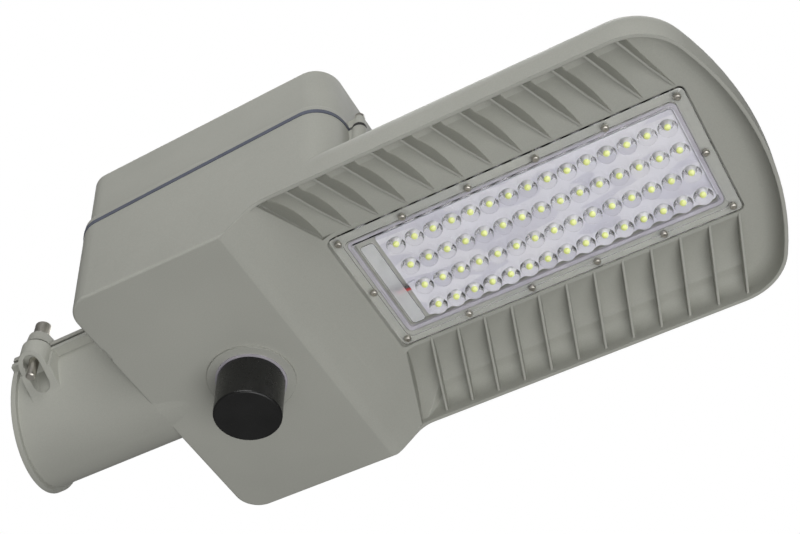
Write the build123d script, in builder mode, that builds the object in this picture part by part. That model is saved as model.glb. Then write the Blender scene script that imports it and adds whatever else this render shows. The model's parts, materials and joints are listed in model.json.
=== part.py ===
from build123d import *
import math
import os

# Split solar street lamp head: a die-cast housing with a pole clamp at the rear, a battery and
# controller box under a hinged cover, and a finned LED nose that shines down.
# +X runs from the pole clamp to the nose, +Z is up, and the origin is on the axis of the clamp bore.
# All sizes are in millimetres.

# ---------------------------------------------------------------- driving dimensions
led_pitch_x = 12.0
led_pitch_y = 17.4
led_columns = 15
led_rows = 4
led_centre_x = 340.8

half_width = 99.6
box_front_x = 252.6             # front wall of the box, at the seam
nose_tip_x = 469.0
end_arc_r = 201.6
nose_corner_r = 36.0
box_rear_corner_r = 15.6
box_front_corner_r = 20.0

box_floor_z = -42.7
rim_z = -25.9
platform_z = -10.9
nose_top_z = 5.5
nose_top_r = 18.0
wall = 4.0
rim_lip = 2.2

bore_r = 39.0
chamber_r = 40.0               # wider room behind the pole, around the cable gland
pole_stop_x = 60.0
pole_stop_t = 2.5
spigot_wall = 5.0
spigot_r = bore_r + spigot_wall
mouth_x = -16.0                # middle of the clamp mouth, and how its plane leans
mouth_lean_y = -0.246
mouth_lean_z = 0.059
mouth_lip_r = 46.8
mouth_lip_width = 3.6
clamp_cap_end_x = 58.0
split_gap = 1.1                # half of the gap between the clamp halves
clamp_flange_y = 50.4
clamp_flange_t = 3.2
clamp_ear_t = 8.0
bolt_x = 17.0
bolt_y = -52.0
bolt_r = 3.0
clamp_pin_y = 50.0
clamp_pin_r = 1.8
clamp_knuckle_r = 4.0

seam_rear_x = 74.0             # middle of the cover seam at the rear wall
seam_rear_z = 29.3
seam_slope = 0.0808            # rise of the seam per mm of X; the box walls stand square to it
gasket_half_t = 1.6
cover_flange_h = 7.0
cover_end_inset = 1.5
cover_side_inset = 3.5
cover_top_rear_z = 88.5
cover_top_slope = 0.052
cover_wall = 3.5

hinge_x = 66.0
hinge_z = 36.0
hinge_y = 62.0
hinge_pin_r = 2.5
hinge_knuckle_r = 6.0
hinge_clear_r = 7.1            # room that the cover's rear edge leaves around the hinge
running_gap = 0.05

lug_x = 257.9
lug_y = 72.6
lug_r = 4.6
cover_screw_r = 1.6

gland_x = 75.9                 # outer and inner seat of the cable gland
gland_in_x = 81.9

sensor_x = 144.6
sensor_r = 20.2
sensor_end_z = -74.5
bezel_r = 26.6
bezel_h = 1.6

plate_rear_x = 222.8
plate_front_x = 441.6
plate_half_w = 46.6
plate_t = 3.0
screw_pitch_x = 41.88
screw_first_x = 227.4
screw_row_y = 41.76

fin_count = 13
fin_pitch = 18.0
fin_first_x = 222.0
fin_root_y = 50.0
fin_sweep = 0.31               # X step towards the rear per mm outwards
fin_t = 1.6

cell_r = 16.0
cell_length = 70.6
cell_pitch = 32.6
pack_x = 135.6
pack_low_z = -11.5             # axis height of the lower row of cells

os.makedirs("parts", exist_ok=True)

# ---------------------------------------------------------------- values worked out from them
end_arc_x = nose_tip_x - end_arc_r
corner_x = end_arc_x + math.sqrt(end_arc_r**2 - half_width**2)
seam_unit = math.hypot(1, seam_slope)
box_length = (box_front_x - seam_rear_x) * seam_unit      # measured along the seam
floor_rear_x = seam_rear_x + seam_slope * (seam_rear_z - box_floor_z)
rim_inner_y = half_width - rim_lip
flange_z = platform_z - 0.5          # outer face of the lens cover's flange
recess_z = flange_z + plate_t        # where the lens cover's flange seats
gasket_z = recess_z + 1.5            # ledge that the lens gasket presses on
ledge_rear_x = 230.2
ledge_front_x = 434.2
ledge_half_y = 38.8
ledge_mid_x = (ledge_rear_x + ledge_front_x) / 2
ledge_length = ledge_front_x - ledge_rear_x
ledge_w = 3.2                        # width of the ledge around the LED pocket
board_z = -6.4                       # LED side of the board
board_t = 1.6
pad_t = 0.5
pocket_top_z = board_z + board_t + pad_t
board_rear_x = led_centre_x - 7.85 * led_pitch_x
board_front_x = led_centre_x + 7.5 * led_pitch_x
board_half_y = 34.0
screw_xs = [screw_first_x + screw_pitch_x * i for i in range(6)]
lens_screw_points = [(x, side * screw_row_y) for x in screw_xs for side in (-1, 1)]
lens_screw_points += [(screw_xs[0], 0), (screw_xs[-1], 0)]


def seam_z(x):
    """Height of the middle of the cover seam."""
    return seam_rear_z + seam_slope * (x - seam_rear_x)


def leaning_plane(z_at_rear, slope):
    """A plane across the lamp that rises along X, facing up, with its origin at the rear wall."""
    length = math.hypot(1, slope)
    return Plane(
        origin=(seam_rear_x, 0, z_at_rear),
        x_dir=(1 / length, 0, slope / length),
        z_dir=(-slope / length, 0, 1 / length),
    )


def seam_plane(height):
    """The plane of the cover seam, moved along its normal."""
    return leaning_plane(seam_rear_z, seam_slope).offset(height)


def box_outline(end_inset, side_inset):
    """Outline of the box in the plane of the seam, drawn in at the ends and at the sides."""
    corner_inset = (end_inset + side_inset) / 2
    with BuildSketch() as outline:
        with Locations((box_length / 2, 0)):
            Rectangle(box_length - 2 * end_inset, 2 * (half_width - side_inset))
        fillet(outline.vertices().sort_by(Axis.X)[:2], radius=box_rear_corner_r - corner_inset)
        fillet(outline.vertices().sort_by(Axis.X)[-2:], radius=box_front_corner_r - corner_inset)
    return outline.sketch


def save(part, label):
    """Label a finished piece and write its STEP file."""
    part.label = label
    export_step(part, f"parts/{label}.step")


# ---------------------------------------------------------------- shared outlines
with BuildSketch() as nose_plan:
    with BuildLine():
        Polyline((180, half_width), (180, -half_width), (corner_x, -half_width))
        ThreePointArc((corner_x, -half_width), (nose_tip_x, 0), (corner_x, half_width))
        Line((corner_x, half_width), (180, half_width))
    make_face()
    fillet(nose_plan.vertices().sort_by(Axis.X)[-2:], radius=nose_corner_r)

box_plan = box_outline(0, 0)
box_inner_plan = box_outline(wall, wall)
gasket_plan = box_outline(-0.4, -0.4)
cover_plan = box_outline(cover_end_inset, cover_side_inset)
cover_inner_plan = box_outline(cover_end_inset + cover_wall, cover_side_inset + cover_wall)
rear_wall_plane = Plane(
    origin=(seam_rear_x, 0, seam_rear_z),
    x_dir=(0, 1, 0),
    z_dir=(1 / seam_unit, 0, seam_slope / seam_unit),
)

# ---------------------------------------------------------------- cutters for the housing
# Shallow bay under the nose, inside the rim. Its ceiling is the platform that holds the LEDs.
with BuildPart() as nose_bay:
    with BuildSketch(Plane.XY.offset(-60)):
        add(nose_plan.sketch)
        offset(amount=-rim_lip, mode=Mode.REPLACE)
    extrude(amount=60 + platform_z)
    fillet(nose_bay.faces().sort_by(Axis.Z)[-1].edges().sort_by(Axis.X)[1:], radius=9)
    with BuildSketch(Plane.XZ.offset(-half_width)):
        with BuildLine():
            Line((202.6, -60), (202.6, -30.3))
            FilletPolyline((202.6, -30.3), (224.7, platform_z), (480, platform_z), radius=16)
            Polyline((480, platform_z), (480, -60), (202.6, -60))
        make_face()
    extrude(amount=2 * half_width, mode=Mode.INTERSECT)

# Concave trough between the platform and the rim, as long as the row of fins.
with BuildPart() as fin_trough:
    with BuildSketch(Plane.YZ.offset(190)):
        with BuildLine():
            Polyline((fin_root_y, platform_z), (fin_root_y, -40), (rim_inner_y, -40), (rim_inner_y, -23))
            ThreePointArc((rim_inner_y, -23), (76, -7.5), (fin_root_y, platform_z))
        make_face()
    extrude(amount=280)
    trough_out = rim_inner_y - fin_root_y
    last_fin_x = fin_first_x + fin_pitch * (fin_count - 1)
    with BuildSketch(Plane.XY.offset(-45)):
        with BuildLine():
            Polyline(
                (fin_first_x, fin_root_y),
                (last_fin_x, fin_root_y),
                (last_fin_x - fin_sweep * trough_out, rim_inner_y),
                (fin_first_x - fin_sweep * trough_out, rim_inner_y),
                close=True,
            )
        make_face()
    extrude(amount=60, mode=Mode.INTERSECT)

# Swept cooling fins of one side. Their lower edges fall from the platform to the rim.
with BuildPart() as fins:
    with BuildSketch(Plane.XY.offset(-30)):
        with BuildLine():
            Polyline(
                (-fin_t / 2, fin_root_y - 1.5),
                (fin_t / 2, fin_root_y - 1.5),
                (fin_t / 2 - fin_sweep * (trough_out + 3), rim_inner_y + 1.5),
                (-fin_t / 2 - fin_sweep * (trough_out + 3), rim_inner_y + 1.5),
                close=True,
            )
        make_face()
    extrude(amount=38)
    with BuildSketch(Plane.YZ.offset(-60)):
        with BuildLine():
            Polyline(
                (fin_root_y - 2, platform_z),
                (fin_root_y - 2, -3),
                (82, -3),
                (rim_inner_y + 1.5, -14),
                (rim_inner_y + 1.5, -23.3),
                (70, -17.4),
                (60, -14.2),
                close=True,
            )
        make_face()
    extrude(amount=120, mode=Mode.INTERSECT)

# Space inside the battery box: deep behind the ramp, shallow above the nose.
with BuildPart() as box_space:
    with BuildSketch(seam_plane(-95)):
        add(box_inner_plan)
    extrude(amount=150)
    with BuildSketch(Plane.XZ.offset(-half_width)):
        with BuildLine():
            Polyline((60, box_floor_z + wall), (186, box_floor_z + wall), (186, 8), (270, 8), (270, 120))
            Polyline((270, 120), (60, 120), (60, box_floor_z + wall))
        make_face()
    extrude(amount=2 * half_width, mode=Mode.INTERSECT)

# ---------------------------------------------------------------- spigot and clamp shapes
def mouth_slab(width):
    """Slice across the spigot, parallel to its mouth and as thick as the width."""
    mouth_plane = Plane(origin=(mouth_x, 0, 0), z_dir=(1, -mouth_lean_y, -mouth_lean_z))
    with BuildPart() as slab:
        with BuildSketch(mouth_plane):
            Rectangle(240, 240)
        extrude(amount=width)
    return slab.part


def cross_box(x0, x1, y0, y1, z0, z1):
    """A plain block between two corners."""
    with BuildPart() as block:
        with BuildSketch(Plane.XY.offset(z0)):
            with Locations(((x0 + x1) / 2, (y0 + y1) / 2)):
                Rectangle(x1 - x0, y1 - y0)
        extrude(amount=z1 - z0)
    return block.part


def along_x(radius, x0, x1, y, z):
    """A round bar along X."""
    with BuildPart() as bar:
        with BuildSketch(Plane.YZ.offset(x0)):
            with Locations((y, z)):
                Circle(radius)
        extrude(amount=x1 - x0)
    return bar.part


def along_y(radius, x, z, y0, y1):
    """A round bar along Y."""
    with BuildPart() as bar:
        with BuildSketch(Plane.XZ.offset(-y0)):
            with Locations((x, z)):
                Circle(radius)
        extrude(amount=y0 - y1)
    return bar.part


def ring(outer_r, inner_r, x, y, z0, height):
    """A round washer or collar with its axis along Z."""
    with BuildPart() as washer:
        with BuildSketch(Plane.XY.offset(z0)):
            with Locations((x, y)):
                Circle(outer_r)
                Circle(inner_r, mode=Mode.SUBTRACT)
        extrude(amount=height)
    return washer.part


collar_end_x = 81.6              # the collar runs through the leaning rear wall

# The whole spigot before it is parted: tube, mouth lip and the flanges along the split.
with BuildPart() as spigot_shape:
    with BuildSketch(Plane.YZ.offset(-40)):
        Circle(mouth_lip_r)
    extrude(amount=90)
    add(mouth_slab(mouth_lip_width), mode=Mode.INTERSECT)
    with BuildSketch(Plane.YZ.offset(-40)):
        Circle(spigot_r)
        Rectangle(2 * clamp_flange_y, 2 * (split_gap + clamp_flange_t))
    extrude(amount=40 + collar_end_x)
    add(mouth_slab(140), mode=Mode.INTERSECT)
    with BuildSketch(Plane.YZ.offset(-45)):
        Circle(bore_r)
    extrude(amount=45 + seam_rear_x, mode=Mode.SUBTRACT)

# The tube's underside runs out into the box floor in a flat taper.
with BuildPart() as spigot_taper:
    with BuildSketch(Plane.YZ.offset(floor_rear_x)):
        Circle(spigot_r)
    with BuildSketch(Plane.YZ.offset(floor_rear_x + 25)):
        Circle(-box_floor_z - 0.2)
    loft()
    split(bisect_by=Plane.XY, keep=Keep.BOTTOM)

# Room above the seam for the cover's rear edge, which swings about the hinge axis.
with BuildPart() as swing_room:
    with BuildSketch(Plane.XZ.offset(-60)):
        with Locations((hinge_x + 15, seam_rear_z - gasket_half_t + 20)):
            Rectangle(30, 40)
        with Locations((hinge_x, hinge_z)):
            Circle(hinge_clear_r, mode=Mode.SUBTRACT)
    extrude(amount=120)

# Wider room behind the pole, up to the leaning rear wall.
with BuildPart() as pole_room:
    with BuildSketch(Plane.YZ.offset(clamp_cap_end_x)):
        Circle(chamber_r)
    extrude(amount=40)
    split(bisect_by=rear_wall_plane, keep=Keep.BOTTOM)

# Pocket in the bolt ear for the end of the clamp bolt, kept clear of the tube wall.
with BuildPart() as ear_pocket:
    with BuildSketch(Plane.XY.offset(-10)):
        with Locations((bolt_x, bolt_y + 4)):
            SlotOverall(22, 11.6, rotation=90)
    extrude(amount=-40)
    with BuildSketch(Plane.YZ.offset(bolt_x - 20)):
        Circle(spigot_r - 0.5)
    extrude(amount=40, mode=Mode.SUBTRACT)

# ---------------------------------------------------------------- housing
lug_seam_z = seam_z(lug_x)
post_points = [(93.0, 84.0), (93.0, -84.0), (228.0, 84.0), (228.0, -84.0)]
tray_z = 42.0
tray_t = 2.0
wire_hole_x = 238.0
wire_hole_y = 8.0
gland_z = -6.0
ear_root_x = seam_rear_x + 2.5
gland_hole_r = 8.1
earth_point = (205.0, 40.0)

with BuildPart() as housing:
    # nose with a rounded top edge
    with BuildSketch(Plane.XY.offset(rim_z)):
        add(nose_plan.sketch)
    extrude(amount=nose_top_z - rim_z)
    fillet(housing.faces().sort_by(Axis.Z)[-1].edges().sort_by(Axis.X)[1:], radius=nose_top_r)
    # battery box and the bosses for the cover screws, trimmed along the leaning seam
    with BuildSketch(seam_plane(-95)):
        add(box_plan)
    extrude(amount=100)
    for side in (-1, 1):
        with BuildSketch(Plane.XY.offset(nose_top_z - 1)):
            with Locations((lug_x, side * lug_y)):
                Circle(lug_r)
            with Locations((lug_x - 3, side * lug_y)):
                Rectangle(6, 7)
        extrude(amount=60)
    split(bisect_by=seam_plane(-gasket_half_t), keep=Keep.BOTTOM)
    split(bisect_by=Plane.XY.offset(box_floor_z), keep=Keep.TOP)
    # ramp between the box underside and the nose
    with BuildSketch(Plane.XZ.offset(-half_width - 5)):
        with BuildLine():
            FilletPolyline((150, -46), (188.4, box_floor_z), (207.6, rim_z), (280, rim_z), radius=18)
            Polyline((280, rim_z), (280, -60), (150, -60), (150, -46))
        make_face()
    extrude(amount=2 * half_width + 10, mode=Mode.SUBTRACT)
    # soft edge around the underside
    fillet(housing.faces().sort_by(Axis.Z)[0].outer_wire().edges().sort_by(Axis.X)[:-1], radius=1.6)

    # underside of the nose: bay, troughs and fins
    add(nose_bay.part, mode=Mode.SUBTRACT)
    add(fin_trough.part, mode=Mode.SUBTRACT)
    add(mirror(fin_trough.part, about=Plane.XZ, mode=Mode.PRIVATE), mode=Mode.SUBTRACT)
    for i in range(fin_count):
        fin = fins.part.moved(Location((fin_first_x + fin_pitch * i, 0, 0)))
        add(fin)
        add(mirror(fin, about=Plane.XZ, mode=Mode.PRIVATE))
    # cooling ribs along the nose top
    for i in range(-4, 5):
        with BuildSketch(Plane.XZ.offset(-13.0 * i + 1.2)):
            with BuildLine():
                Polyline(
                    (249, nose_top_z - 2),
                    (249, nose_top_z + 7),
                    (408, nose_top_z + 7),
                    (436, nose_top_z - 2),
                    close=True,
                )
            make_face()
        extrude(amount=-2.4)

    # sensor bezel
    with BuildSketch(Plane.XY.offset(box_floor_z - bezel_h)):
        with Locations((sensor_x, 0)):
            Circle(bezel_r)
    extrude(amount=bezel_h + 1)

    # lower half of the pole clamp, a full collar at the box, and its taper under the box
    add(spigot_shape.part & cross_box(-40, collar_end_x, -60, 60, -60, -split_gap))
    collar = spigot_shape.part & cross_box(clamp_cap_end_x + 0.5, collar_end_x, -60, 60, -60, 60)
    add(collar - swing_room.part)
    add(spigot_taper.part)
    # bolt ear with a sloping underside
    with BuildSketch(Plane.YZ.offset(bolt_x - 11)):
        with BuildLine():
            Polyline(
                (-62, -split_gap), (-62, -11), (-37, -24.5), (-30, -32), (-30, -split_gap), close=True
            )
        make_face()
    ear = extrude(amount=22, mode=Mode.PRIVATE)
    with BuildSketch(Plane.XY.offset(-40)):
        with Locations((bolt_x, bolt_y)):
            Circle(9.6)
        with Locations((bolt_x, bolt_y + 15)):
            Rectangle(22, 26)
    ear_plan = extrude(amount=40, mode=Mode.PRIVATE)
    add(ear & ear_plan)
    # clamp hinge knuckles on the other side
    for x in (10.0, 42.0):
        add(along_x(clamp_knuckle_r, x, x + 14, clamp_pin_y, 0))
    # clear the pole bore, the cap's knuckle and its flange
    with BuildSketch(Plane.YZ.offset(-45)):
        Circle(bore_r)
    extrude(amount=45 + clamp_cap_end_x + 1, mode=Mode.SUBTRACT)
    # wider room behind the pole, and the stop rim for the pole's end
    add(pole_room.part, mode=Mode.SUBTRACT)
    with BuildSketch(Plane.YZ.offset(pole_stop_x)):
        Circle(chamber_r + 1)
        Circle(bore_r - 4, mode=Mode.SUBTRACT)
        with Locations((0, 40)):
            Rectangle(100, 84, mode=Mode.SUBTRACT)
    extrude(amount=pole_stop_t)
    add(cross_box(24.4, 41.6, 44.6, 60, -6, 6), mode=Mode.SUBTRACT)
    add(along_x(clamp_pin_r + running_gap, 9, 57, clamp_pin_y, 0), mode=Mode.SUBTRACT)
    # bolt hole and the pocket that its end stands in
    with Locations((bolt_x, bolt_y, -split_gap)):
        Hole(bolt_r + 0.05, depth=12)
    add(ear_pocket.part, mode=Mode.SUBTRACT)

    # inside of the box with its posts
    add(box_space.part, mode=Mode.SUBTRACT)
    for x, y in post_points:
        add(cross_box(x - 5, x + 5, y - 5, y + 5, box_floor_z + 2 if x < 186 else 7, tray_z))
        outer = half_width - 2 if y > 0 else 2 - half_width
        add(cross_box(x - 2, x + 2, min(y, outer), max(y, outer), box_floor_z + 2 if x < 186 else 7, 20))
        with Locations((x, y, tray_z)):
            Hole(1.7, depth=12)
    add(cross_box(199, 211, 34, 46, 7, 12))
    with Locations((*earth_point, 12)):
        Hole(2.1, depth=8)

    # flat pad with the cable gland hole in the rear wall, inside the spigot
    add(along_x(12.0, gland_x, gland_in_x, 0, gland_z))
    add(along_x(gland_hole_r, gland_x - 1, gland_in_x + 1, 0, gland_z), mode=Mode.SUBTRACT)
    # sensor hole through the floor
    with BuildSketch(Plane.XY.offset(box_floor_z - bezel_h)):
        with Locations((sensor_x, 0)):
            Circle(13.2)
    extrude(amount=wall + bezel_h + 1, mode=Mode.SUBTRACT)

    # lens cover recess, gasket ledge and LED pocket
    with BuildSketch(Plane.XY.offset(recess_z)):
        with Locations(((plate_rear_x + plate_front_x) / 2, 0)):
            RectangleRounded(plate_front_x - plate_rear_x + 1.6, 2 * plate_half_w + 1.6, 4)
    extrude(amount=-8, mode=Mode.SUBTRACT)
    with BuildSketch(Plane.XY.offset(gasket_z)):
        with Locations((ledge_mid_x, 0)):
            RectangleRounded(ledge_length, 2 * ledge_half_y, 4)
    extrude(amount=-8, mode=Mode.SUBTRACT)
    with BuildSketch(Plane.XY.offset(pocket_top_z)):
        with Locations((ledge_mid_x, 0)):
            RectangleRounded(ledge_length - 2 * ledge_w, 2 * (ledge_half_y - ledge_w), 3)
    extrude(amount=-8, mode=Mode.SUBTRACT)
    for x, y in lens_screw_points:
        with BuildSketch(Plane.XY.offset(recess_z - 0.5)):
            with Locations((x, y)):
                Circle(1.3)
        extrude(amount=8.5, mode=Mode.SUBTRACT)
    # lead hole from the box down into the LED pocket
    with BuildSketch(Plane.XY.offset(pocket_top_z - 1)):
        with Locations((wire_hole_x, wire_hole_y)):
            Circle(4.0)
    extrude(amount=20, mode=Mode.SUBTRACT)

    # clearance holes for the cover screws
    for side in (-1, 1):
        with Locations((lug_x, side * lug_y, lug_seam_z + 1)):
            Hole(cover_screw_r + 0.9, depth=16)

    # rear hinge ears in two pairs, rooted in the rear wall below the seam
    for side in (-1, 1):
        for y0 in (side * hinge_y - 9, side * hinge_y + 3.3):
            with BuildSketch(Plane.XZ.offset(-y0)):
                with BuildLine():
                    Polyline((ear_root_x, 6), (ear_root_x, 24), (hinge_x, hinge_z), (61, 32), close=True)
                make_face()
                with Locations((hinge_x, hinge_z)):
                    Circle(hinge_knuckle_r)
            extrude(amount=-5.7)
        pin_from = side * hinge_y - 10
        add(along_y(hinge_pin_r + running_gap, hinge_x, hinge_z, pin_from, pin_from + 20), mode=Mode.SUBTRACT)

    # drain slot at the foot of the rear wall
    add(
        cross_box(floor_rear_x - 3, floor_rear_x + 1.6, -62, -52, box_floor_z - 1, box_floor_z + 1.6),
        mode=Mode.SUBTRACT,
    )

save(housing.part, "housing")

# ---------------------------------------------------------------- clamp cap, its hinge and bolt
with BuildPart() as clamp_cap:
    add(spigot_shape.part & cross_box(-40, clamp_cap_end_x, -60, 60, split_gap, 60))
    with BuildSketch(Plane.XY.offset(split_gap)):
        with Locations((bolt_x, bolt_y)):
            Circle(8.2)
        with Locations((bolt_x, bolt_y + 6)):
            Rectangle(16.4, 12)
    extrude(amount=clamp_ear_t, taper=6)
    # the flange on the hinge side makes room for the housing's knuckles
    add(cross_box(9.4, 24.6, 44.4, 60, -1, 12), mode=Mode.SUBTRACT)
    add(cross_box(41.4, 56.6, 44.4, 60, -1, 12), mode=Mode.SUBTRACT)
    add(along_x(clamp_knuckle_r, 24.9, 41.1, clamp_pin_y, 0))
    with BuildSketch(Plane.YZ.offset(-45)):
        Circle(bore_r)
    extrude(amount=110, mode=Mode.SUBTRACT)
    add(along_x(clamp_pin_r + running_gap, 20, 50, clamp_pin_y, 0), mode=Mode.SUBTRACT)
    with Locations((bolt_x, bolt_y, split_gap + 8)):
        Hole(bolt_r + 1.1, depth=12)
save(clamp_cap.part, "clamp_cap")

save(along_x(clamp_pin_r, 9.5, 56.5, clamp_pin_y, 0), "clamp_hinge_pin")

washer_z = split_gap + clamp_ear_t
save(ring(6.3, bolt_r + 0.2, bolt_x, bolt_y, washer_z, 1.5), "clamp_flat_washer")
spring_z = washer_z + 1.5
save(ring(5.4, bolt_r + 0.1, bolt_x, bolt_y, spring_z, 1.8), "clamp_spring_washer")
head_z = spring_z + 1.8
bolt_end_z = -25.0
with BuildPart() as clamp_bolt:
    with BuildSketch(Plane.XY.offset(bolt_end_z)):
        with Locations((bolt_x, bolt_y)):
            Circle(bolt_r)
    extrude(amount=head_z - bolt_end_z)
    chamfer(clamp_bolt.faces().sort_by(Axis.Z)[0].edges(), length=0.7)
    with BuildSketch(Plane.XY.offset(head_z)):
        with Locations((bolt_x, bolt_y)):
            Circle(5.2)
    extrude(amount=8.8)
    chamfer(clamp_bolt.faces().sort_by(Axis.Z)[-1].edges(), length=0.6)
    with BuildSketch(Plane.XY.offset(head_z + 8.8)):
        with Locations((bolt_x, bolt_y)):
            RegularPolygon(radius=2.9, side_count=6)
    extrude(amount=-4, mode=Mode.SUBTRACT)
save(clamp_bolt.part, "clamp_bolt")

# ---------------------------------------------------------------- top cover, its seal and fasteners
with BuildPart() as cover_gasket:
    with BuildSketch(seam_plane(-gasket_half_t)):
        add(gasket_plan)
        add(box_inner_plan, mode=Mode.SUBTRACT)
    extrude(amount=2 * gasket_half_t)
save(cover_gasket.part, "cover_gasket")

cover_base = seam_plane(gasket_half_t + 0.1)
lug_top_z = lug_seam_z + gasket_half_t + 9.4
lug_top_r = 3.2
with BuildPart() as cover_space:
    with BuildSketch(seam_plane(-5)):
        add(cover_inner_plan)
    extrude(amount=80)
    split(bisect_by=leaning_plane(cover_top_rear_z - cover_wall, cover_top_slope), keep=Keep.BOTTOM)
    fillet(cover_space.faces().sort_by(Axis.Z)[-1].edges(), radius=3)

tongue_root_x = seam_rear_x + 2.0

# flange of the cover that sits on the gasket
with BuildPart() as cover_flange:
    with BuildSketch(seam_plane(0)):
        add(box_plan)
    extrude(amount=cover_flange_h)
    fillet(cover_flange.faces().sort_by(Axis.Z)[-1].edges(), radius=1.4)

with BuildPart() as cover:
    with BuildSketch(seam_plane(0)):
        add(cover_plan)
    extrude(amount=80)
    split(bisect_by=leaning_plane(cover_top_rear_z, cover_top_slope), keep=Keep.BOTTOM)
    fillet(cover.faces().sort_by(Axis.Z)[-1].edges(), radius=4.0)
    add(cover_flange.part)
    # lugs for the two captive screws
    for side in (-1, 1):
        with BuildSketch(Plane.XY.offset(lug_seam_z - 2)):
            with Locations((lug_x, side * lug_y)):
                Circle(lug_r)
        with BuildSketch(Plane.XY.offset(lug_top_z)):
            with Locations((lug_x, side * lug_y)):
                Circle(lug_top_r)
        loft()
        add(cross_box(247.5, lug_x - 1, side * lug_y - 3, side * lug_y + 3, lug_seam_z - 2, lug_top_z - 2))
    split(bisect_by=cover_base, keep=Keep.TOP)
    add(cover_space.part, mode=Mode.SUBTRACT)
    for side in (-1, 1):
        with Locations((lug_x, side * lug_y, lug_top_z + 1)):
            Hole(cover_screw_r + 0.1, depth=14)
    # hinge tongues between the housing's ears
    for side in (-1, 1):
        with BuildSketch(Plane.XZ.offset(-side * hinge_y + 3.0)):
            with BuildLine():
                Polyline(
                    (tongue_root_x, seam_rear_z + 2.4),
                    (tongue_root_x, seam_rear_z + 7.6),
                    (hinge_x, hinge_z + 5.0),
                    (hinge_x, hinge_z - 5.0),
                    close=True,
                )
            make_face()
            with Locations((hinge_x, hinge_z)):
                Circle(hinge_knuckle_r - 0.4)
        extrude(amount=-6.0)
        tongue_from = side * hinge_y - 4
        add(
            along_y(hinge_pin_r + running_gap, hinge_x, hinge_z, tongue_from, tongue_from + 8),
            mode=Mode.SUBTRACT,
        )
save(cover.part, "cover")

with BuildPart() as cover_hinge_pins:
    for side in (-1, 1):
        add(along_y(hinge_pin_r, hinge_x, hinge_z, side * hinge_y - 9.6, side * hinge_y + 9.6))
save(cover_hinge_pins.part, "cover_hinge_pins")

for side, label in ((-1, "cover_screw_right"), (1, "cover_screw_left")):
    with BuildPart() as cover_screw:
        with BuildSketch(Plane.XY.offset(lug_top_z)):
            with Locations((lug_x, side * lug_y)):
                Circle(2.9)
        extrude(amount=3.2)
        fillet(cover_screw.faces().sort_by(Axis.Z)[-1].edges(), radius=0.8)
        with BuildSketch(Plane.XY.offset(lug_seam_z - 7)):
            with Locations((lug_x, side * lug_y)):
                Circle(cover_screw_r)
        extrude(amount=lug_top_z - lug_seam_z + 7)
        with BuildSketch(Plane.XY.offset(lug_top_z + 3.2)):
            with Locations((lug_x, side * lug_y)):
                Rectangle(0.9, 4.4)
        extrude(amount=-1.2, mode=Mode.SUBTRACT)
    save(cover_screw.part, label)

with BuildPart() as cover_screw_seals:
    for side in (-1, 1):
        add(ring(lug_r - 0.3, cover_screw_r + 1.0, lug_x, side * lug_y, lug_seam_z - 5, 10))
    split(bisect_by=seam_plane(gasket_half_t), keep=Keep.BOTTOM)
    split(bisect_by=seam_plane(-gasket_half_t), keep=Keep.TOP)
save(cover_screw_seals.part, "cover_screw_seals")

# ---------------------------------------------------------------- lens cover and LED module
plate_mid_x = (plate_rear_x + plate_front_x) / 2
step_rear_x = led_centre_x - 9.05 * led_pitch_x
step_front_x = led_centre_x + 7.62 * led_pitch_x
step_half_y = 38.0
step_h = 1.0
lead_pocket_depth = 1.8
lens_r = 5.6
lens_h = 4.4
led_points = [
    (
        led_centre_x + led_pitch_x * (i - (led_columns - 1) / 2),
        led_pitch_y * (j - (led_rows - 1) / 2),
    )
    for i in range(led_columns)
    for j in range(led_rows)
]

# One lens: a short skirt, a rounded crown and a hollow over the LED.
with BuildPart() as lens:
    with BuildSketch(Plane.XZ):
        with BuildLine():
            Polyline((0, 0.5), (lens_r, 0.5), (lens_r, -0.9))
            Spline((lens_r, -0.9), (lens_r * 0.78, -3.1), (0, -lens_h), tangents=((-0.1, -1), (-1, 0)))
            Line((0, -lens_h), (0, 0.5))
        make_face()
    revolve(axis=Axis.Z)

with BuildPart() as lens_cover:
    with BuildSketch(Plane.XY.offset(flange_z)):
        with Locations((plate_mid_x, 0)):
            RectangleRounded(plate_front_x - plate_rear_x, 2 * plate_half_w, 3.2)
    extrude(amount=plate_t)
    chamfer(lens_cover.faces().sort_by(Axis.Z)[0].edges(), length=0.6)
    with BuildSketch(Plane.XY.offset(flange_z)):
        with Locations(((step_rear_x + step_front_x) / 2, 0)):
            RectangleRounded(step_front_x - step_rear_x, 2 * step_half_y, 3)
    extrude(amount=-step_h)
    chamfer(lens_cover.faces().sort_by(Axis.Z)[0].edges(), length=0.5)
    # pocket over the leads, behind the row of lenses
    with BuildSketch(Plane.XY.offset(recess_z)):
        with Locations(((step_rear_x + 4 + board_rear_x - 1.5) / 2, 0)):
            RectangleRounded(board_rear_x - 5.5 - step_rear_x, 2 * 33.0, 2)
    extrude(amount=-lead_pocket_depth, mode=Mode.SUBTRACT)
    for x, y in led_points:
        add(lens.part.moved(Location((x, y, flange_z - step_h))))
    # hollow over each LED
    with BuildSketch(Plane.XY.offset(recess_z)):
        with Locations(*led_points):
            Circle(2.6)
    extrude(amount=-1.6, mode=Mode.SUBTRACT)
    with BuildSketch(Plane.XY.offset(recess_z)):
        with Locations(*lens_screw_points):
            Circle(1.7)
    extrude(amount=-plate_t, mode=Mode.SUBTRACT)
save(lens_cover.part, "lens_cover")

with BuildPart() as lens_gasket:
    with BuildSketch(Plane.XY.offset(recess_z)):
        with Locations((ledge_mid_x, 0)):
            RectangleRounded(ledge_length - 0.6, 2 * ledge_half_y - 0.6, 3.7)
            RectangleRounded(ledge_length - 6.0, 2 * ledge_half_y - 6.0, 2.0, mode=Mode.SUBTRACT)
    extrude(amount=gasket_z - recess_z)
save(lens_gasket.part, "lens_gasket")

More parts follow.
